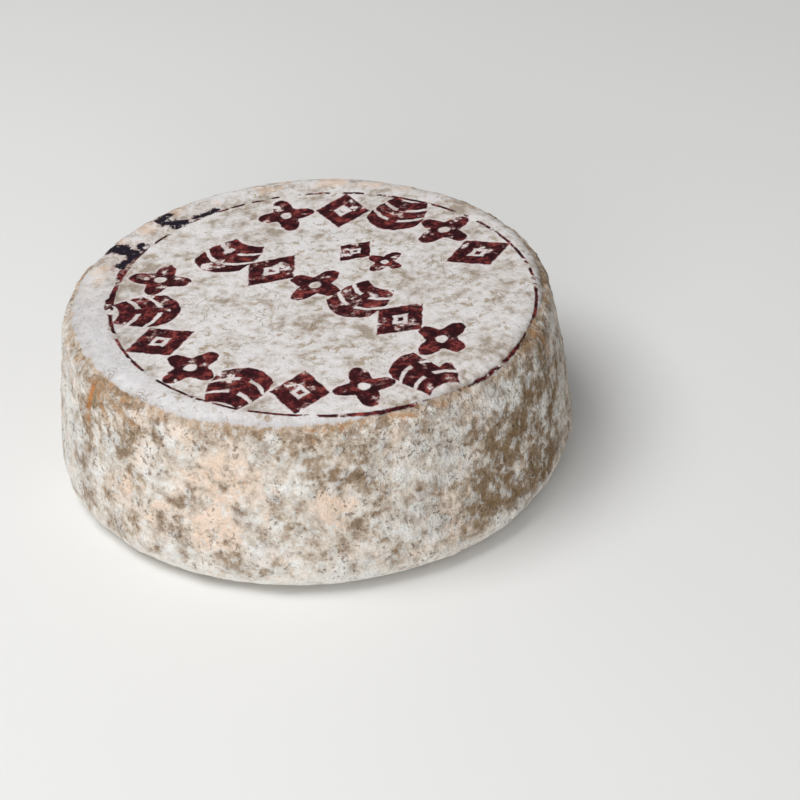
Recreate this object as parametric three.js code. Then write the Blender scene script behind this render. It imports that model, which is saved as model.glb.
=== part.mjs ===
// A whole wheel of farmhouse cheese: a low drum of pressed curd with a natural rind, ripened in one piece.
// The wheel stands on its flat base. Its side leans in a little towards the top, because the curd settles
// as it ripens, both edges are rounded, and the outline is slightly out of round.
// Units are millimetres, +Z is up, and the origin is the middle of the base, on the surface it stands on.

import * as THREE from "three";

// Driving dimensions.
const HEIGHT = 66;
const BASE_RADIUS = 95; // the side just above the lower edge, the widest part
const WAIST_RADIUS = 92.7;
const WAIST_HEIGHT = 31;
const TOP_RADIUS = 89; // the side just below the upper edge
const BASE_EDGE_RADIUS = 10;
const TOP_EDGE_RADIUS = 10;

// How far the outline strays from round. Each term is a number of lobes round the wheel, how far they reach
// in or out at the side, and the angle of the first lobe.
const OUT_OF_ROUND = [
  { lobes: 2, reach: 0.5, angle: 0.6 },
  { lobes: 3, reach: 0.3, angle: 2.1 },
];
// The lower edge is pressed in and out by the boards that the wheel is turned on, and the waves die out
// towards the top.
const BASE_WAVES = [
  { lobes: 5, reach: 0.35, angle: 1.3 },
  { lobes: 8, reach: 0.25, angle: 0.2 },
];

// Fineness of the faceted surface.
const STEPS_ROUND = 96;
const EDGE_STEPS = 6;
const SIDE_STEPS = 8;

const RIND_COLOUR = 0xcdc0ad;
const RIND_ROUGHNESS = 0.9;

// Half of the wheel's upright section, from the middle of the base round to the middle of the top.
function sectionPoints() {
  const lowerEdge = new THREE.Path();
  lowerEdge.absarc(BASE_RADIUS - BASE_EDGE_RADIUS, BASE_EDGE_RADIUS, BASE_EDGE_RADIUS, -Math.PI / 2, 0);

  const upperEdge = new THREE.Path();
  upperEdge.absarc(TOP_RADIUS - TOP_EDGE_RADIUS, HEIGHT - TOP_EDGE_RADIUS, TOP_EDGE_RADIUS, 0, Math.PI / 2);

  const side = new THREE.SplineCurve([
    new THREE.Vector2(BASE_RADIUS, BASE_EDGE_RADIUS),
    new THREE.Vector2(WAIST_RADIUS, WAIST_HEIGHT),
    new THREE.Vector2(TOP_RADIUS, HEIGHT - TOP_EDGE_RADIUS),
  ]);

  return [
    new THREE.Vector2(0, 0),
    ...lowerEdge.getPoints(EDGE_STEPS),
    ...side.getPoints(SIDE_STEPS).slice(1, -1),
    ...upperEdge.getPoints(EDGE_STEPS),
    new THREE.Vector2(0, HEIGHT),
  ];
}

// The sum of a list of wave terms at an angle round the wheel.
function waves(terms, angle) {
  return terms.reduce((sum, term) => sum + term.reach * Math.cos(term.lobes * (angle - term.angle)), 0);
}

// Moves each point in or out along its own radius. Points nearer the axis move less, so the middle stays put.
function settle(geometry) {
  const position = geometry.attributes.position;
  const point = new THREE.Vector3();
  for (let i = 0; i < position.count; i += 1) {
    point.fromBufferAttribute(position, i);
    const angle = Math.atan2(point.y, point.x);
    const shareOfHeight = point.z / HEIGHT;
    const shift = waves(OUT_OF_ROUND, angle) + waves(BASE_WAVES, angle) * (1 - shareOfHeight) ** 2;
    const stretch = 1 + shift / BASE_RADIUS;
    position.setXYZ(i, point.x * stretch, point.y * stretch, point.z);
  }
}

function cheeseWheel() {
  const geometry = new THREE.LatheGeometry(sectionPoints(), STEPS_ROUND);
  geometry.rotateX(Math.PI / 2);
  settle(geometry);
  geometry.computeVertexNormals();

  const rind = new THREE.MeshStandardMaterial({
    color: RIND_COLOUR,
    roughness: RIND_ROUGHNESS,
    metalness: 0,
  });
  const mesh = new THREE.Mesh(geometry, rind);
  mesh.name = "cheese_wheel";
  return mesh;
}

const cheese = new THREE.Group();
cheese.add(cheeseWheel());

export default cheese;
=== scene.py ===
import math

import bpy
import numpy as np
from mathutils import Matrix, Vector


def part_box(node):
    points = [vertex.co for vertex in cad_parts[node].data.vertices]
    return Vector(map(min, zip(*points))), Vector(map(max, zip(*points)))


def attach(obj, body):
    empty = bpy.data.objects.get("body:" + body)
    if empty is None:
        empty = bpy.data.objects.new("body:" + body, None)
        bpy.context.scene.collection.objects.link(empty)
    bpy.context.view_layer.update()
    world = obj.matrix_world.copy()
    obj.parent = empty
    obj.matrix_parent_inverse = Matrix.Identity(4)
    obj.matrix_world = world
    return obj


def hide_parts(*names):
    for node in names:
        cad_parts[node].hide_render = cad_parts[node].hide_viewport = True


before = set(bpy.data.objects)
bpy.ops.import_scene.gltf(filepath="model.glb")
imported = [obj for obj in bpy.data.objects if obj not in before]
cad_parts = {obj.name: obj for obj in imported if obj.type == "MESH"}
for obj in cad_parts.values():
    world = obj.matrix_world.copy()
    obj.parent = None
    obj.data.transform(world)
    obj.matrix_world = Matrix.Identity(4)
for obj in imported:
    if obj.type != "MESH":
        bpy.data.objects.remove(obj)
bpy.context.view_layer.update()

# THE WHEEL OF CURD
# Cow's-milk curd, pressed in a round hoop and turned until it stands by itself as one low drum. Its own
# weight spreads the foot, so the side leans in towards the top, and both edges are rounded and uneven.

MM = 0.001
low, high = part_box("cheese_wheel")
wheel_height = high.z - low.z
foot_radius = (high.x - low.x + high.y - low.y) / 4
shoulder_radius = foot_radius - 6 * MM
edge_radius = 10 * MM
side_swell = 0.45 * MM

ring_corners = 144
edge_steps = 8
side_steps = 16


def curve_of_an_edge(centre_radius, centre_height, first_turn):
    """Radius and height of the rings of a quarter-round edge, going up."""
    rings = []
    for step in range(edge_steps + 1):
        turn = first_turn + math.pi / 2 * step / edge_steps
        ring_radius = centre_radius + edge_radius * math.cos(turn)
        ring_height = centre_height + edge_radius * math.sin(turn)
        rings.append((ring_radius, ring_height))
    return rings


def side_of_the_wheel():
    """Radius and height of every ring, from the edge of the base up to the edge of the top."""
    foot = curve_of_an_edge(foot_radius - edge_radius, edge_radius, -math.pi / 2)
    shoulder_height = wheel_height - edge_radius
    shoulder = curve_of_an_edge(shoulder_radius - edge_radius, shoulder_height, 0)
    side = []
    for step in range(1, side_steps):
        share = step / side_steps
        lean = (foot_radius - shoulder_radius) * share
        swell = side_swell * 4 * share * (1 - share)
        side.append((foot_radius - lean + swell, edge_radius + (shoulder_height - edge_radius) * share))
    return foot + side + shoulder


def place_on_side(degrees, height):
    """The point of the side at an angle round the wheel and a height, in metres."""
    rings = side_of_the_wheel()
    radius = np.interp(height, [ring[1] for ring in rings], [ring[0] for ring in rings])
    turn = math.radians(degrees)
    return Vector((radius * math.cos(turn), radius * math.sin(turn), height))


rings = side_of_the_wheel()
bpy.ops.object.select_all(action="DESELECT")
bpy.ops.mesh.primitive_circle_add(
    vertices=ring_corners, radius=rings[0][0], fill_type="NGON", location=(0, 0, low.z)
)
wheel = bpy.context.active_object
wheel.name = "ripened_wheel"
bpy.ops.object.mode_set(mode="EDIT")
for below, above in zip(rings, rings[1:]):
    rise = above[1] - below[1]
    spread = above[0] / below[0]
    bpy.ops.mesh.extrude_region_move(TRANSFORM_OT_translate={"value": (0, 0, rise)})
    bpy.ops.transform.resize(value=(spread, spread, 1), center_override=(0, 0, 0))
bpy.ops.mesh.select_all(action="SELECT")
bpy.ops.mesh.normals_make_consistent(inside=False)

# Where the boards and the cheesemaker's hands have pressed the young wheel: the angle and height of each
# press, how far in it goes (or out, below zero) and how far it reaches, in degrees and millimetres.
presses = [
    (250, 3, 0.3, 26),
    (338, 5, 0.9, 24),
    (214, 4, 0.3, 24),
    (303, 4, -0.7, 26),
    (28, 6, 0.8, 24),
    (96, 4, 0.9, 30),
    (150, 60, 0.7, 20),
    (62, 61, 0.7, 18),
    (211, 62, 0.9, 9),
    (283, 63, 0.5, 14),
]
for degrees, height, depth, reach in presses:
    bpy.ops.mesh.select_all(action="DESELECT")
    bpy.ops.object.mode_set(mode="OBJECT")
    pressed = place_on_side(degrees, height * MM)
    nearest = min(wheel.data.vertices, key=lambda corner: (corner.co - pressed).length)
    nearest.select = True
    inward = Vector((-pressed.x, -pressed.y, 0)).normalized() * depth * MM
    bpy.ops.object.mode_set(mode="EDIT")
    bpy.ops.transform.translate(
        value=inward,
        use_proportional_edit=True,
        proportional_edit_falloff="SMOOTH",
        proportional_size=reach * MM,
    )
bpy.ops.object.mode_set(mode="OBJECT")

# THE RELIEF OF THE RIND
# The wheel dries and its rind shrinks over the curd: broad lumps first, then the grain of the cloth and
# curd, a crease where the top meets the side, and a few cracks that open from it.

skin_grain = 1.05 * MM
bpy.ops.object.modifier_add(type="REMESH")
wheel.modifiers[-1].mode = "VOXEL"
wheel.modifiers[-1].voxel_size = skin_grain
bpy.ops.object.modifier_apply(modifier=wheel.modifiers[-1].name)

crease_radius = shoulder_radius - 3.2 * MM
crease_reach = crease_radius - (shoulder_radius - edge_radius)
crease_height = wheel_height - edge_radius + math.sqrt(edge_radius**2 - crease_reach**2)
stamp_centre = Vector((5.7, -6.3, 0)) * MM
stamp_radius = 76 * MM
# Each crack runs from its upper end to its lower end, given as angle and height, and has a width.
cracks = [
    ((209.5, 61.5), (208.0, 47), 1.5),
    ((211, 62), (217, 51), 0.9),
    ((212, 62), (226, 56), 0.8),
    ((70, 62), (73, 49), 1.1),
    ((335, 61), (338, 51), 0.9),
]


def corners_of(piece):
    """The places of a piece's corners, one row each."""
    places = np.empty(len(piece.data.vertices) * 3)
    piece.data.vertices.foreach_get("co", places)
    return places.reshape(-1, 3)


def ways_out_of(piece):
    """The outward directions at a piece's corners, one row each."""
    ways = np.empty(len(piece.data.vertices) * 3)
    piece.data.vertices.foreach_get("normal", ways)
    return ways.reshape(-1, 3)


def soft_step(values, start, end):
    """0 up to start, 1 from end, and a smooth rise between them."""
    share = np.clip((values - start) / (end - start), 0, 1)
    return share * share * (3 - 2 * share)


def distance_to_line(places, start, end):
    """How far each place is from the straight line between two points."""
    line = np.array(end) - np.array(start)
    from_start = places - np.array(start)
    share = np.clip(from_start @ line / (line @ line), 0, 1)
    return np.linalg.norm(from_start - share[:, None] * line, axis=1)


def raise_skin(piece, name, weights, height, texture=None):
    """Moves the skin out by a height where the weights say, evenly or by a texture's light and dark."""
    group = piece.vertex_groups.new(name=name)
    for corner in np.flatnonzero(weights > 0.002):
        group.add([int(corner)], float(weights[corner]), "REPLACE")
    bpy.ops.object.modifier_add(type="DISPLACE")
    displace = piece.modifiers[-1]
    displace.vertex_group = group.name
    displace.texture_coords = "LOCAL"
    displace.strength = height
    displace.mid_level = 0
    if texture:
        displace.texture = texture
        displace.mid_level = 0.5
    bpy.ops.object.modifier_apply(modifier=displace.name)
    piece.vertex_groups.remove(piece.vertex_groups[name])


def lumpy(name, size, octaves):
    """A cloudy texture with lumps of a size."""
    texture = bpy.data.textures.new(name, "CLOUDS")
    texture.noise_scale = size
    texture.noise_depth = octaves
    texture.noise_basis = "IMPROVED_PERLIN"
    return texture


corners = corners_of(wheel)
from_axis = np.hypot(corners[:, 0], corners[:, 1])
# Shares of the side and the top: the underside lies flat on its board and stays nearly even.
off_board = soft_step(corners[:, 2], 0.3 * MM, 5 * MM)
on_top = soft_step(corners[:, 2], wheel_height - 3.4 * MM, wheel_height - 1.6 * MM)
on_side = off_board * (1 - on_top)
raise_skin(wheel, "lumps", 0.12 + 0.88 * on_side + 0.3 * on_top, 1.5 * MM, lumpy("lumps", 34 * MM, 1))

settled = corners_of(wheel)
settled_ways = ways_out_of(wheel)
raise_skin(wheel, "curd", on_side + 0.22 * on_top, 1.5 * MM, lumpy("curd", 9 * MM, 2))
raise_skin(wheel, "mould", on_side + 0.2 * on_top, 1.2 * MM, lumpy("mould", 3.4 * MM, 1))

from_crease = np.hypot(from_axis - crease_radius, corners[:, 2] - crease_height)
raise_skin(wheel, "rim", 1 - soft_step(from_crease, 1 * MM, 5 * MM), 1.6 * MM, lumpy("rim", 5 * MM, 2))
raise_skin(wheel, "crease", 1 - soft_step(from_crease, 0, 2.4 * MM), -0.55 * MM)
for upper, lower, width in cracks:
    start = place_on_side(upper[0], upper[1] * MM)
    end = place_on_side(lower[0], lower[1] * MM)
    from_crack = distance_to_line(corners, start, end)
    raise_skin(wheel, "crack", 1 - soft_step(from_crack, 0.3 * MM, 1.6 * width * MM), -0.9 * width * MM)
from_stamp = np.hypot(corners[:, 0] - stamp_centre.x, corners[:, 1] - stamp_centre.y)
under_stamp = on_top * (1 - soft_step(from_stamp, stamp_radius - 1.2 * MM, stamp_radius))
raise_skin(wheel, "stamp", under_stamp, -0.22 * MM)

# How far each corner stands above or below the even skin, in millimetres, for the material to read.
skin_heights = ((corners_of(wheel) - settled) * settled_ways).sum(axis=1) / MM
relief_attribute = wheel.data.attributes.new("relief", "FLOAT", "POINT")
relief_attribute.data.foreach_set("value", skin_heights.astype(np.float32))
bpy.ops.object.shade_smooth()

# The rind laid out flat for its colours, in millimetres on a square sheet: the top is a disc, the underside
# is a smaller disc beside it, and the side is two strips above them, the front half and the back half.
sheet = 304
flat_gap = 1.5
top_disc = 87
foot_disc = 93
under_scale = 0.66
under_disc = foot_disc * under_scale
strip_foot = 3
strip_head = 63
faces = wheel.data.polygons
centres = np.empty(len(faces) * 3)
faces.foreach_get("center", centres)
corners_each = np.empty(len(faces), dtype=int)
faces.foreach_get("loop_total", corners_each)
centres = np.repeat(centres.reshape(-1, 3), corners_each, axis=0) / MM
corner_numbers = np.empty(len(wheel.data.loops), dtype=int)
wheel.data.loops.foreach_get("vertex_index", corner_numbers)
spots = corners_of(wheel)[corner_numbers] / MM
centre_turn = np.arctan2(centres[:, 1], centres[:, 0]) % (2 * math.pi)
past_centre = np.arctan2(spots[:, 1], spots[:, 0]) - centre_turn
spot_turn = centre_turn + (past_centre + math.pi) % (2 * math.pi) - math.pi
in_front = centre_turn > math.pi
strip_x = flat_gap + (spot_turn - math.pi * in_front) * foot_disc
strip_lift = np.where(in_front, 0, strip_head - strip_foot + flat_gap)
strip_y = 2 * (flat_gap + top_disc) + spots[:, 2] - strip_foot + strip_lift
top_x = flat_gap + top_disc + spots[:, 0]
top_y = flat_gap + top_disc + spots[:, 1]
under_x = 2 * (flat_gap + top_disc) + flat_gap + under_disc - spots[:, 0] * under_scale
under_y = flat_gap + under_disc + spots[:, 1] * under_scale
above = centres[:, 2] > strip_head
beneath = centres[:, 2] < strip_foot
flat_x = np.where(above, top_x, np.where(beneath, under_x, strip_x)) / sheet
flat_y = np.where(above, top_y, np.where(beneath, under_y, strip_y)) / sheet
flat_layout = wheel.data.uv_layers.new(name="OFBake", do_init=False)
flat_layout.uv.foreach_set("vector", np.stack([flat_x, flat_y], axis=1).astype(np.float32).ravel())


# THE RIND AND ITS STAMP
# White and grey moulds grow on the peach-coloured skin of the wheel, with olive and brown patches among them;
# painted shade and painted light lie over them in places.
# The top is stamped with vegetable ink: a thin ring with plain marks inside it, worn by turning and brushing.


class Wire:
    """A value, a colour or a place on its way through a material. Sums on wires add the nodes for them."""

    def __init__(self, tree, socket):
        self.tree = tree
        self.socket = socket

    def parts(self):
        """The x, y and z of a place, as three values."""
        first = self.node("ShaderNodeSeparateXYZ", {}, {0: self})
        return [Wire(self.tree, output) for output in first.socket.node.outputs]

    def node(self, kind, settings, sockets, output=0):
        """A node of a kind: its settings are made first, and then its sockets get their values or wires."""
        made = self.tree.nodes.new(kind)
        for name, value in settings.items():
            if name == "stops":
                while len(made.color_ramp.elements) < len(value):
                    made.color_ramp.elements.new(0.5)
                for element, (position, tint) in zip(made.color_ramp.elements, value):
                    element.position = position
                    element.color = tint
            else:
                setattr(made, name, value)
        for name, value in sockets.items():
            if isinstance(value, Wire):
                self.tree.links.new(value.socket, made.inputs[name])
            else:
                made.inputs[name].default_value = value
        return Wire(self.tree, made.outputs[output])

    def maths(self, operation, *values):
        """A Math node on this value and others."""
        return self.node("ShaderNodeMath", {"operation": operation}, dict(enumerate((self, *values))))

    def __add__(self, other):
        return self.maths("ADD", other)

    __radd__ = __add__

    def __sub__(self, other):
        return self.maths("SUBTRACT", other)

    def __rsub__(self, other):
        return self * -1 + other

    def __mul__(self, other):
        return self.maths("MULTIPLY", other)

    __rmul__ = __mul__

    def __truediv__(self, other):
        return self.maths("DIVIDE", other)

    def __abs__(self):
        return self.maths("ABSOLUTE")

    def __lt__(self, other):
        return self.maths("LESS_THAN", other)

    def __gt__(self, other):
        return self.maths("GREATER_THAN", other)

    def at_least(self, other):
        return self.maths("MAXIMUM", other)

    def at_most(self, other):
        return self.maths("MINIMUM", other)

    def length_with(self, other):
        """The length of a line that goes this far one way and the other value square to it."""
        return (self * self + other * other).maths("SQRT")

    def rise(self, start, end):
        """0 up to start, 1 from end, and a smooth rise between them."""
        sockets = {"Value": self, "From Min": start, "From Max": end}
        return self.node("ShaderNodeMapRange", {"interpolation_type": "SMOOTHSTEP"}, sockets)

    def fall(self, start, end):
        """1 up to start, 0 from end, and a smooth fall between them."""
        return 1 - self.rise(start, end)

    def between(self, other, share):
        """Numbers mixed: this one at share 0, the other at share 1."""
        return self.node("ShaderNodeMix", {"data_type": "FLOAT"}, {0: share, 2: self, 3: other})

    def graded(self, *stops):
        """The colour that this value picks from a row of stops."""
        return self.node("ShaderNodeValToRGB", {"stops": stops}, {0: self})

    def moved(self, by):
        """A place moved by a vector."""
        return self.node("ShaderNodeVectorMath", {"operation": "ADD"}, {0: self, 1: by})

    def scaled(self, by):
        """A place or a colour multiplied by a value."""
        return self.node("ShaderNodeVectorMath", {"operation": "SCALE"}, {0: self, "Scale": by})

    def far_from(self, spot):
        """How far a place is from a spot."""
        return self.node("ShaderNodeVectorMath", {"operation": "DISTANCE"}, {0: self, 1: spot}, "Value")

    def cloud(self, size, octaves=2, roughness=0.5, seed=0):
        """Cloudy noise about 0.5 at a place, with patches of a size."""
        shifted = self.moved((seed * 37.1, seed * 91.7, seed * 53.3))
        sockets = {"Vector": shifted, "Scale": 1 / size, "Detail": octaves, "Roughness": roughness}
        return self.node("ShaderNodeTexNoise", {}, sockets)

    def tinted(self, other, share):
        """Colours mixed: this one at share 0, the other at share 1."""
        return self.node("ShaderNodeMix", {"data_type": "RGBA"}, {0: share, 6: self, 7: other}, 2)


def colour(code):
    """A linear colour from its six-digit code."""
    parts = [int(code[start:start + 2], 16) / 255 for start in (0, 2, 4)]
    return (*[part / 12.92 if part < 0.04045 else ((part + 0.055) / 1.055) ** 2.4 for part in parts], 1)


peach_skin = colour("edcdb3")
white_mould = colour("e9eae8")
# The white of the painted light bounced onto the bottom edge of the side.
bounce_lit_white = colour("f3eee6")
grey_mould = colour("a99f94")
olive_mould = colour("9b8465")
brown_of_mould_and_shade = colour("7b603c")
# Brown of mould and of painted shade, for the right of the side.
dark_speck = colour("66503a")
orange_skin = colour("c98a52")
crack_orange = colour("bf7a3a")
rim_grime = colour("8a6d52")
crease_ochre = colour("b0906e")
underside_cream = colour("e4d8c5")
cool_bloom = colour("d9d8dc")
top_smudge = colour("a08b6e")
black_ink = colour("290c11")
maroon_ink = colour("4b1b1f")
red_ink = colour("8a3f39")
blue_black_ink = colour("231d27")
worn_ink = colour("a9837c")
ink_halo = colour("e9dddc")

# Patches that stand out on the side: the angle and height of their middles, and their sizes.
mould_patches = [
    (210, 45, 16), (218, 53, 17), (228.5, 53, 6), (227, 38, 7), (216, 27, 9), (206, 30, 4), (249.5, 16, 5),
    (224, 14, 6), (274, 55, 17), (266, 58, 6), (286, 56, 7), (279, 44, 5), (260.5, 28, 5), (282, 26, 5),
    (283, 12, 7), (302, 28, 17), (304, 18, 13), (314, 36, 15), (322, 50, 12), (324, 22, 15), (334, 44, 17),
    (20, 30, 16), (66, 20, 12), (98, 44, 14), (131, 24, 12), (170, 40, 15),
]
peach_patches = [
    (250, 46, 18), (247, 27, 13), (271, 33, 9), (233, 26, 7), (240, 57, 6), (224, 34, 6), (45, 44, 18),
    (82, 26, 16), (118, 50, 14), (152, 22, 18),
]
white_patches = [
    (194, 36, 26), (193, 20, 20), (200, 14, 12), (198, 56, 8), (218, 43, 10), (238, 54, 7), (257, 55, 7),
    (258, 20, 9), (254, 32, 6), (260, 42, 7), (287, 44, 8), (290, 25, 12), (297, 46, 14), (313, 55, 11),
    (257, 3, 15), (273, 4, 16), (204, 4, 10), (236, 10, 7), (5, 46, 14), (56, 30, 10), (110, 16, 12),
    (140, 46, 12), (184, 20, 14),
]

# Parts of the crease round the rim that hold more ochre and dirt.
crease_patches = [(222, 61, 26), (281, 61, 34), (340, 61, 20), (30, 61, 22), (100, 61, 34), (160, 61, 20)]

# Where the ink ran past the line on the left: both ends of each blot, and its half-width, all in millimetres.
ink_blots = [
    ((-70, 41, 65.5), (-62, 34, 65.8), 3.4),
    ((-64, 32, 65.8), (-67, 27, 65.8), 2.2),
    ((-60, 41, 65.8), (-59, 36, 65.8), 1.6),
    ((-53, 59, 65.5), (-50, 62, 65.3), 2.6),
    ((-49.5, 57, 65.7), (-42, 53, 65.8), 3.4),
    ((-42, 57, 65.7), (-32, 63, 65.7), 1.6),
]


def near_patches(place, patches, wander):
    """1 in the middle of the nearest patch of a list and 0 outside them all, with wandering borders."""
    share = None
    for degrees, height, size in patches:
        middle = place_on_side(degrees, height * MM) / MM
        patch = (place.far_from(middle) + wander).fall(size * 0.35, size)
        share = patch if share is None else share.at_least(patch)
    return share


def far_from_line(place, start, end):
    """How far a place is from the straight line between two points, all in millimetres."""
    line = end - start
    from_start = place.moved(tuple(-start))
    product = {"operation": "DOT_PRODUCT"}
    along = from_start.node("ShaderNodeVectorMath", product, {0: from_start, 1: line}, "Value")
    share = (along / line.length_squared).at_least(0).at_most(1)
    reached = share.node("ShaderNodeVectorMath", {"operation": "SCALE"}, {0: tuple(line), "Scale": share})
    return from_start.far_from(reached)


def ear_of_wheat(across, along):
    """How far outside the mark a place is: a stem with three curved leaves on each side."""
    curved = along - across * across * 0.06
    leaf = curved.maths("WRAP", -3.6, 3.6)
    leaves = (abs(leaf) - 2.8).at_least(across - 9.6 + along * along * 0.02 + along * 0.1)
    return leaves.at_most(across - 1.6).at_least(abs(curved) - 10)


def open_lozenge(across, along):
    """How far outside the mark a place is: a thick lozenge with a dot in it."""
    reach = across / 9.1 + abs(along) / 11.6
    return (abs(reach - 0.68) - 0.34).at_most(reach - 0.14) * 7


def four_petals(across, along):
    """How far outside the mark a place is: four broad petals round a small hole."""
    petals = (across.maths("ARCTAN2", along) * 4).maths("COSINE")
    reach = across.length_with(along * 0.9)
    return (reach - 7.4 - petals * 2.4).at_least(1.9 - reach)


def stamp_ink(place, x, y):
    """How far outside the marks a place is, the share of ink in the line, and how far past the line it is."""
    marks_radius = 62
    marks_lift = 4.3
    mark_scale = 0.9
    row_step = 20
    small_height = 31
    small_step = 14.1
    small_scale = 1.5
    wobble = place.node("ShaderNodeTexNoise", {}, {"Vector": place, "Scale": 0.4, "Detail": 3.0}, "Color")
    push_x, push_y = wobble.parts()[:2]
    across = x + (push_x - 0.5) * 1.5 - stamp_centre.x / MM
    along = y + (push_y - 0.5) * 1.5 - stamp_centre.y / MM
    reach = across.length_with(along)

    # Marks round the ring stand in cells of 20 degrees, and some cells stay bare.
    cell = math.radians(20)
    turn = along.maths("ARCTAN2", across).maths("FLOORED_MODULO", 2 * math.pi)
    number = (turn / cell).maths("ROUND")
    slant = turn - number * cell
    ring_x = reach * slant.maths("SINE")
    ring_y = reach * slant.maths("COSINE") - marks_radius
    marked = (number > 0.5) * (number < 5.5) + (number > 7.5) * (number < 15.5)

    # A row of six marks crosses the middle in a shallow bow, and two small marks stand above it.
    lean = math.radians(-43)
    row_u = across * math.cos(lean) + along * math.sin(lean) - 3
    row_v = along * math.cos(lean) - across * math.sin(lean)
    row_number = (row_u / row_step - 0.5).maths("ROUND")
    row_x = row_u - (row_number + 0.5) * row_step
    row_y = row_v - marks_lift + row_u * row_u * 0.0013
    in_row = (abs(row_y) < 13) * (abs(row_u) < 3 * row_step)
    small_u = row_u + 13.3
    small_number = (small_u / small_step).maths("ROUND")
    small_x = (small_u - small_number * small_step) * small_scale
    small_y = (row_v - small_height) * small_scale
    in_small = (abs(row_v - small_height) < 9) * (abs(small_u - small_step / 2) < small_step)

    mark_x = abs(ring_x.between(row_x, in_row).between(small_x, in_small)) * mark_scale
    mark_y = ring_y.between(row_y, in_row).between(small_y, in_small) * mark_scale
    marked = marked.at_least(in_row).at_least(in_small)
    number = number.between(row_number + 12, in_row).between(small_number + 13, in_small)
    kind = number.maths("FLOORED_MODULO", 3)
    mark = ear_of_wheat(mark_x, mark_y).between(open_lozenge(mark_x, mark_y), kind > 0.5)
    mark = mark.between(four_petals(mark_x, mark_y), kind > 1.5)
    mark = mark.between(9, 1 - marked)

    # The line round them is thin and broken. It is a little out of round, and smeared wide on the left.
    top_middle = (stamp_centre.x / MM, stamp_centre.y / MM, wheel_height / MM)
    out_of_round = (turn * 2).maths("SINE") * 1.3 + (push_x - 0.5) * 0.7
    past_line = place.far_from(top_middle) + out_of_round - stamp_radius / MM
    smear = across.fall(-73, -66) * along.rise(-14, 6) * place.cloud(9, 2, 0.5, 4).rise(0.30, 0.56)
    gaps = (place.cloud(9, 3, 0.6, 5) - along.rise(20, 74) * 0.09).rise(0.40, 0.44)
    line = gaps * (abs(past_line - smear * 0.6) - smear * 1.1).fall(0.35, 0.85)
    return mark, line, past_line


rind_material = bpy.data.materials.new("natural_rind")
rind_material.use_nodes = True
tree = rind_material.node_tree
shader = tree.nodes["Principled BSDF"]

# What the side and the top share. The rim between them wanders: it droops at the right and stands higher on
# the far left. All places are in millimetres.
place = Wire(tree, None).node("ShaderNodeTexCoord", {}, {}, "Object").scaled(1 / MM)
x, y, z = place.parts()
relief = place.node("ShaderNodeAttribute", {"attribute_name": "relief"}, {}, "Fac")

wobble = place.cloud(3.2, 3, 0.6, 1) - 0.5
droop = place.far_from(place_on_side(315, 61 * MM) / MM).fall(4, 24) * 1.8
raised = place.far_from(place_on_side(193, 64 * MM) / MM).fall(16, 50) * 0.9
past_rim = z + droop - raised + wobble * 3 - 63.5
topside = past_rim.rise(-0.4, 0.4)
underside = (z + wobble * 4).fall(0.5, 3.5)
clouds = place.cloud(9, 5, 0.55, 6)
flecks = place.cloud(3, 4, 0.62, 7) - 0.5

# The side: cream skin that is dark and olive under old mould, and white where new mould blooms, with painted
# shade on its right and painted light along its foot.
wander = (place.cloud(7, 4, 0.6, 2) - 0.5) * 50
moulded = near_patches(place, mould_patches, wander)
whitened = near_patches(place, white_patches, wander)
peachy = near_patches(place, peach_patches, wander * 0.7)
# Browner and darker towards the right of the side: part brown mould, part painted shade where the light falls
# off.
brown_and_shaded = (place.far_from(place_on_side(319, 30 * MM) / MM) + wander * 0.6).fall(16, 50)
# Lighter towards the bottom edge of the side: painted light, as if bounced up from the pale floor.
bounce_lit_foot = (z + wobble * 4 + wander * 0.25).fall(3, 13) * (1 - underside * 0.7)
# The tone is darker under old mould and in the painted shade on the right.
old_mould_and_shade = place.cloud(28, 2, 0.5, 27).rise(0.42, 0.58) * 0.02 + moulded * 0.055 + brown_and_shaded * 0.025
# New mould and peach skin lighten the tone, and so does the painted light along the bottom edge.
new_mould_and_bounce_light = whitened * 0.035 + peachy * 0.03 + bounce_lit_foot * 0.1
# Through the relief the tone is darker in the hollows, the crease and the cracks, and lighter on raised skin:
# painted shade and painted light.
tone = clouds + flecks * 0.65 + relief * 0.06 - old_mould_and_shade + new_mould_and_bounce_light
side = tone.graded(
    (0.29, colour("8b7763")),
    (0.37, colour("ab9886")),
    (0.44, colour("c3b6a8")),
    (0.50, colour("d3c8bb")),
    (0.56, colour("ded5ca")),
    (0.64, colour("ebe6df")),
)
greyed = place.cloud(13, 3, 0.55, 13).rise(0.50, 0.62) * (1 - peachy)
side = side.tinted(grey_mould, greyed * 0.3)
side = side.tinted(olive_mould, moulded * tone.fall(0.40, 0.52) * 0.35)
# Painted shade on the right of the side, over its brown mould.
side = side.tinted(brown_of_mould_and_shade, brown_and_shaded * tone.fall(0.44, 0.60) * 0.58)
warm = (peachy + place.cloud(20, 2, 0.5, 3).rise(0.48, 0.60) * 0.5).at_most(1)
side = side.tinted(peach_skin, warm * tone.rise(0.38, 0.58) * 0.6)
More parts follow.
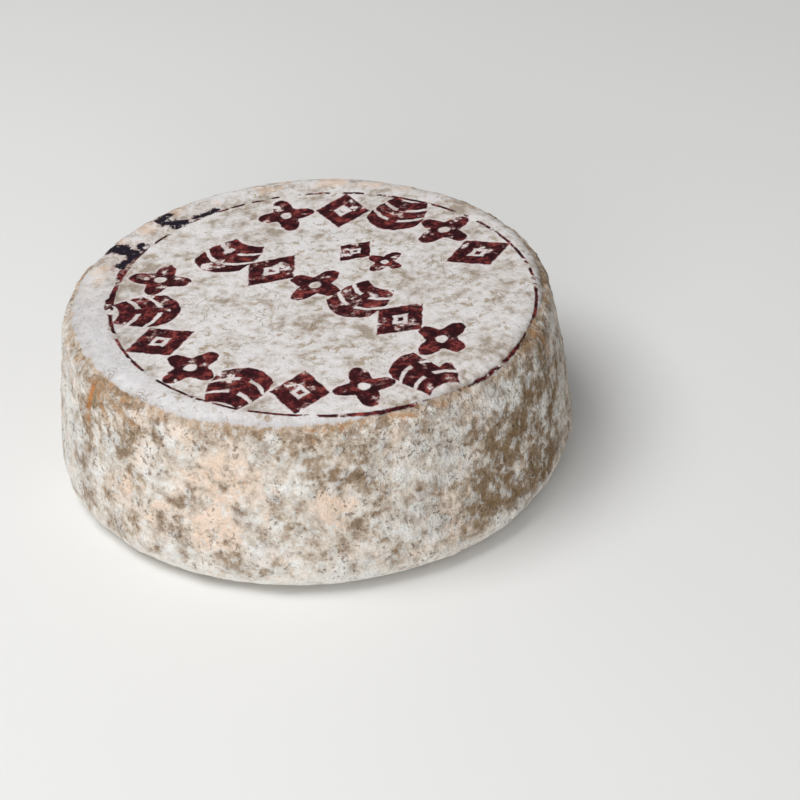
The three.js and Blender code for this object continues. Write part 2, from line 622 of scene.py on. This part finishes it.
# Painted light: the bottom edge whitened as if lit from the floor below.
side = side.tinted(bounce_lit_white, bounce_lit_foot * place.cloud(6, 3, 0.6, 29).rise(0.30, 0.50) * 0.9)
side = side.tinted(white_mould, whitened * 0.25)
bloom = (place.cloud(4.5, 4, 0.6, 8) + relief * 0.06 + whitened * 0.06 - peachy * 0.05).rise(0.51, 0.62)
side = side.tinted(white_mould, bloom * 0.5)
clusters = place.cloud(9, 2, 0.5, 9) + moulded * 0.05 + past_rim.rise(-8, -2) * 0.05 - bounce_lit_foot * 0.05
specks = place.cloud(1.5, 2, 0.6, 10).rise(0.575, 0.65) * clusters.rise(0.45, 0.60)
side = side.tinted(dark_speck, specks * 0.6)
ruddy = place.cloud(16, 2, 0.5, 12) + peachy * 0.06
blush = place.cloud(2.6, 3, 0.6, 11).rise(0.57, 0.66) * ruddy.rise(0.48, 0.62)
side = side.tinted(orange_skin, blush * (peachy * 0.2 + 0.16))

# The top: a thin cool bloom over beige mottles, with tan smudges and fine wrinkles in the middle.
mark, line, past_line = stamp_ink(place, x, y)
middle = past_line.fall(-22, 2)
cool = past_line.rise(-3, 4) * (x * -0.63 + y * -0.77 + wander * 0.8).rise(10, 60)
# The relief also darkens the top a little in its hollows and lightens it on raised skin: painted shade and
# painted light.
top_tone = clouds * 0.85 + place.cloud(30, 2, 0.5, 25) * 0.4 - 0.125 + flecks * 0.75 + relief * 0.03
top_tone = top_tone.between(0.54, cool * 0.6)
top = top_tone.graded(
    (0.33, colour("a89b8e")),
    (0.39, colour("bdb3aa")),
    (0.45, colour("cdc5bf")),
    (0.50, colour("d6d0cb")),
    (0.55, colour("dcd7d4")),
    (0.63, colour("e2dfde")),
)
top = top.tinted(cool_bloom, cool * 0.5)
warm_edge = (past_line.rise(2, 8) - cool).at_least(0) * place.cloud(9, 3, 0.6, 26).rise(0.47, 0.62)
top = top.tinted(peach_skin, warm_edge * 0.5)
smudgy = place.cloud(15, 2, 0.5, 16) + middle * 0.06
smudged = place.cloud(4.2, 4, 0.6, 15).rise(0.55, 0.62) * smudgy.rise(0.48, 0.60)
top = top.tinted(top_smudge, smudged * 0.7)
wrinkles = abs(place.cloud(13, 4, 0.55, 20) - 0.5).fall(0.003, 0.012)
wrinkles = wrinkles * (place.cloud(12, 2, 0.5, 23) + middle * 0.05).rise(0.54, 0.64)
top = top.tinted(top_smudge, wrinkles * 0.5)
pits = place.cloud(1.2, 2, 0.5, 17).rise(0.68, 0.76)
top = top.tinted(top_smudge, pits * 0.7)

# The ink has bled into the rind and worn off it in places.
wear = place.cloud(7, 5, 0.66, 18)
held = wear.rise(0.365, 0.405)
inked = mark.fall(-0.3, 0.3).at_least(line) * held
ink_tone = place.cloud(3, 4, 0.65, 19).rise(0.37, 0.70)
ink = ink_tone.graded((0, black_ink), (0.5, maroon_ink), (1, red_ink))
ink = ink.tinted(worn_ink, wear.fall(0.40, 0.46) * 0.5)
top = top.tinted(ink_halo, mark.fall(0.3, 2) * 0.5)
# The whole top is a little darker, and painted shade darkens it more just above the rim, where it rounds over
# into the crease.
top = top.scaled(0.96 - past_rim.fall(0.5, 2.3) * 0.2)
top = top.tinted(ink, inked)

# Outside the line on the left, the ink lies blue-black where it ran, with paler smears round it.
from_blot = None
for start, end, size in ink_blots:
    distance = far_from_line(place, Vector(start), Vector(end)) - size
    from_blot = distance if from_blot is None else from_blot.at_most(distance)
from_blot = from_blot + wobble * 9 + wander * 0.1
patchy = place.cloud(2.2, 4, 0.7, 24)
outside = past_line.rise(-0.3, 0.3)
smears = from_blot.fall(-0.5, 2.6) * outside * patchy.rise(0.42, 0.54)
blots = from_blot.fall(-0.8, 0.5) * outside * patchy.rise(0.32, 0.42)

# The crease round the rim holds ochre, with dirt in the hollows below it, and so do the cracks.
dirt = place.cloud(4, 5, 0.66, 21)
ragged = (place.cloud(7, 3, 0.6, 28) - 0.5) * 14
stained = near_patches(place, crease_patches, wander * 0.3)
ochre = (past_rim + ragged).rise(-3.2, -0.8) * past_rim.fall(-0.2, 0.6) * (1 - bloom * 0.5)
rusty = ochre * dirt.rise(0.50, 0.58) * stained
ochre = ochre * dirt.rise(0.40, 0.56) * (stained * 0.3 + 0.5)
grime = past_rim.rise(-11, -1.5) * past_rim.fall(-0.2, 0.4)
grime = grime * dirt.fall(0.40, 0.50) * (stained * 0.35 + 0.4)

rind = side.tinted(top, topside)
rind = rind.tinted(crease_ochre, ochre)
rind = rind.tinted(crack_orange, rusty * 0.35)
rind = rind.tinted(rim_grime, grime)
rind = rind.tinted(worn_ink, smears * 0.6)
rind = rind.tinted(blue_black_ink, blots)
for upper, lower, width in cracks:
    start = place_on_side(upper[0], upper[1] * MM) / MM
    end = place_on_side(lower[0], lower[1] * MM) / MM
    from_crack = far_from_line(place, start, end) + wobble * 3
    rind = rind.tinted(crease_ochre, from_crack.fall(0.6 * width, 2.8 * width) * 0.45)
    redness = 1.1 * (width - 0.7)
    rind = rind.tinted(crack_orange, from_crack.fall(0.3 * width, 1.4 * width) * redness)
rind = rind.tinted(underside_cream, underside * 0.35)

grain = place.cloud(0.8, 3, 0.75, 22)
rind = rind.scaled(0.78 + grain * 0.44)
tree.links.new(rind.socket, shader.inputs["Base Color"])

rough = 0.86 + grain * 0.1 - inked * topside * 0.12
tree.links.new(rough.socket, shader.inputs["Roughness"])
shader.inputs["Specular IOR Level"].default_value = 0.1

# Fine relief, in millimetres: mealy mould on the side, a finer bloom on the top.
side_height = flecks * 2.4 + (grain - 0.5) * 0.4 + bloom * 0.15 - specks * 0.3
top_height = flecks * 0.7 + (grain - 0.5) * 0.14 - pits * 0.15 - wrinkles * 0.15 - inked * 0.03
height = side_height.between(top_height, topside)
bump = height.node("ShaderNodeBump", {}, {"Height": height, "Distance": MM, "Strength": 1.0})
tree.links.new(bump.socket, shader.inputs["Normal"])
wheel.data.materials.append(rind_material)

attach(wheel, "root")
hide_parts("cheese_wheel")

# THE FLOOR
# A wide, plain, pale board for the wheel to stand on. It isn't part of the wheel.

bpy.ops.object.select_all(action="DESELECT")
bpy.ops.mesh.primitive_plane_add(size=6, location=(0, 0, low.z))
floor = bpy.context.active_object
floor.name = "floor"
floor_paint = bpy.data.materials.new("pale_floor")
floor_paint.use_nodes = True
floor_paint.node_tree.nodes["Principled BSDF"].inputs["Base Color"].default_value = (0.8, 0.8, 0.79, 1)
floor_paint.node_tree.nodes["Principled BSDF"].inputs["Roughness"].default_value = 0.9
floor.data.materials.append(floor_paint)

# THE LIGHT
# One soft window stands low in front and a stronger one high on the left, in an even pale room.

world = bpy.data.worlds.new("room")
bpy.context.scene.world = world
world.use_nodes = True
world.node_tree.nodes["Background"].inputs["Color"].default_value = (1.0, 1.0, 1.0, 1)
world.node_tree.nodes["Background"].inputs["Strength"].default_value = 0.3

light_distance = 1.4


def soft_window(name, degrees, height_degrees, size, power):
    """A square light that faces the wheel from an angle round it and an angle above the floor."""
    turn = math.radians(degrees)
    tilt = math.radians(height_degrees)
    out = Vector((math.sin(turn) * math.cos(tilt), -math.cos(turn) * math.cos(tilt), math.sin(tilt)))
    bpy.ops.object.light_add(type="AREA", location=out * light_distance)
    window = bpy.context.active_object
    window.name = name
    window.data.size = size
    window.data.energy = power
    window.rotation_euler = (-out).to_track_quat("-Z", "Y").to_euler()


soft_window("front_window", -15, 15, 0.8, 8.9)
soft_window("left_window", -75, 65, 0.8, 13.3)

# THE CAMERA
# It stands in front, 33 degrees above the table and a little over four wheel widths away. It is tilted a few
# degrees, and turned so that the wheel sits left of the middle.

view_height = math.radians(32.82)
view_roll = math.radians(-5.07)
half_view = math.radians(10)
view_distance = 4.4 * 2 * foot_radius
# How far the wheel's middle lies from the middle of the view, as shares of its distance.
wheel_aside = -0.03844
wheel_above = 0.01574

backward = Vector((0, -math.cos(view_height), math.sin(view_height)))
level_right = Vector((1, 0, 0))
level_up = backward.cross(level_right)
right = level_right * math.cos(view_roll) + level_up * math.sin(view_roll)
up = backward.cross(right)
towards_wheel = Vector((wheel_aside, wheel_above, -1)).normalized()
bpy.ops.object.camera_add()
camera = bpy.context.active_object
camera.name = "camera"
camera.data.sensor_width = 36
camera.data.lens = 18 / math.tan(half_view)
camera.data.clip_end = 20
turned = towards_wheel.rotation_difference(Vector((0, 0, -1)))
facing = Matrix((right, up, backward)).transposed()
camera.rotation_mode = "QUATERNION"
camera.rotation_quaternion = (facing @ turned.to_matrix()).to_quaternion()
camera.location = Vector((0, 0, wheel_height / 2)) + backward * view_distance
bpy.context.scene.camera = camera
bpy.context.scene.view_settings.view_transform = "Standard"
